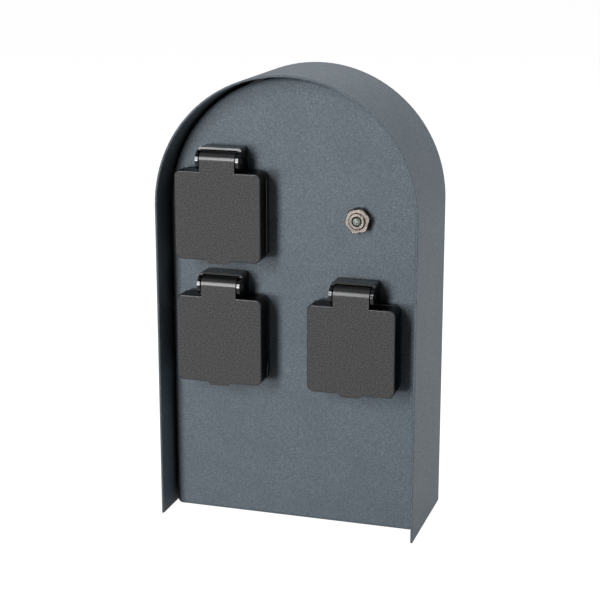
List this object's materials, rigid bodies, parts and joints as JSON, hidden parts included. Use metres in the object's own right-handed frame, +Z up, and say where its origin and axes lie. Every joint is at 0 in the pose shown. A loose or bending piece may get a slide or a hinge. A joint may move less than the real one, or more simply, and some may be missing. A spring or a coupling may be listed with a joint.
{
  "type": "garden socket",
  "caption": "Upright garden power post: arched sheet-metal hood, recessed front tray with spring-lidded sockets and a pilot lamp, back plate for wall fixing.",
  "frame": {"origin": "bottom centre of the whole post", "axes": "+Z up, -Y the front with the lids, +X to the viewer's right"},
  "size_m": [0.15, 0.068, 0.2575],
  "materials": {
    "powder_coat": "satin fine-grained powder coat",
    "zinc_sheet": "zinc plated",
    "zinc_screw": "zinc plated",
    "grommet_rubber": "matte",
    "block_plastic": "semi-gloss nylon",
    "nickel": "nickel plated",
    "lens": "clear",
    "lamp_rubber": "matte",
    "lamp_plastic": "matte",
    "contact_steel": "zinc plated",
    "spring_steel": "drawn stainless wire",
    "gasket_rubber": "matte",
    "socket_plastic": "satin moulded",
    "insert_plastic": "matte moulded",
    "clip_metal": "nickel plated",
    "contact_brass": "stamped",
    "pin_steel": "ground stainless",
    "lid_plastic": "fine-grained moulded",
    "seal_rubber": "matte"
  },
  "bodies": {
    "housing": {"arched_hood": "powder_coat", "front_panel": "powder_coat", "back_plate": "zinc_sheet", "hook_bracket": "zinc_sheet", "bottom_plate": "zinc_sheet", "cable_clamp": "zinc_sheet", "bottom_screws": "zinc_screw", "clamp_screws": "zinc_screw", "flange_screws": "zinc_screw", "centre_screws": "zinc_screw", "earth_stud": "zinc_screw", "cable_grommet": "grommet_rubber", "terminal_block": "block_plastic", "lamp_bezel": "nickel", "lamp_nut": "nickel", "lamp_lens": "lens", "lamp_washer": "lamp_rubber", "lamp_body": "lamp_plastic", "terminal_screws": "contact_steel", "lid_springs": "spring_steel", "flange_gasket_upper_left": "gasket_rubber", "flange_gasket_lower_left": "gasket_rubber", "flange_gasket_lower_right": "gasket_rubber", "socket_base_upper_left": "socket_plastic", "socket_base_lower_left": "socket_plastic", "socket_base_lower_right": "socket_plastic", "socket_insert_upper_left": "insert_plastic", "socket_insert_lower_left": "insert_plastic", "socket_insert_lower_right": "insert_plastic", "rear_cover_upper_left": "insert_plastic", "rear_cover_lower_left": "insert_plastic", "rear_cover_lower_right": "insert_plastic", "earth_clips_upper_left": "clip_metal", "earth_clips_lower_left": "clip_metal", "earth_clips_lower_right": "clip_metal", "line_contacts_upper_left": "contact_brass", "line_contacts_lower_left": "contact_brass", "line_contacts_lower_right": "contact_brass", "hinge_pin_upper_left": "pin_steel", "hinge_pin_lower_left": "pin_steel", "hinge_pin_lower_right": "pin_steel"},
    "lid_upper_left": {"lid_upper_left": "lid_plastic", "lid_seal_upper_left": "seal_rubber"},
    "lid_lower_left": {"lid_lower_left": "lid_plastic", "lid_seal_lower_left": "seal_rubber"},
    "lid_lower_right": {"lid_lower_right": "lid_plastic", "lid_seal_lower_right": "seal_rubber"}
  },
  "joints": [
    {"name": "lid_upper_left_hinge", "type": "hinge", "parent": "housing", "child": "lid_upper_left", "pos_m": [-0.03825, -0.0283, 0.2091], "axis": [-1, 0, 0], "range_deg": [0, 110], "stiffness_Nm_per_rad": 0.01, "springref_deg": -57.3, "deforming": ["lid_springs"]},
    {"name": "lid_lower_left_hinge", "type": "hinge", "parent": "housing", "child": "lid_lower_left", "pos_m": [-0.03825, -0.0283, 0.1386], "axis": [-1, 0, 0], "range_deg": [0, 110], "stiffness_Nm_per_rad": 0.01, "springref_deg": -57.3, "deforming": ["lid_springs"]},
    {"name": "lid_lower_right_hinge", "type": "hinge", "parent": "housing", "child": "lid_lower_right", "pos_m": [0.03825, -0.0283, 0.1386], "axis": [-1, 0, 0], "range_deg": [0, 110], "stiffness_Nm_per_rad": 0.01, "springref_deg": -57.3, "deforming": ["lid_springs"]}
  ]
}
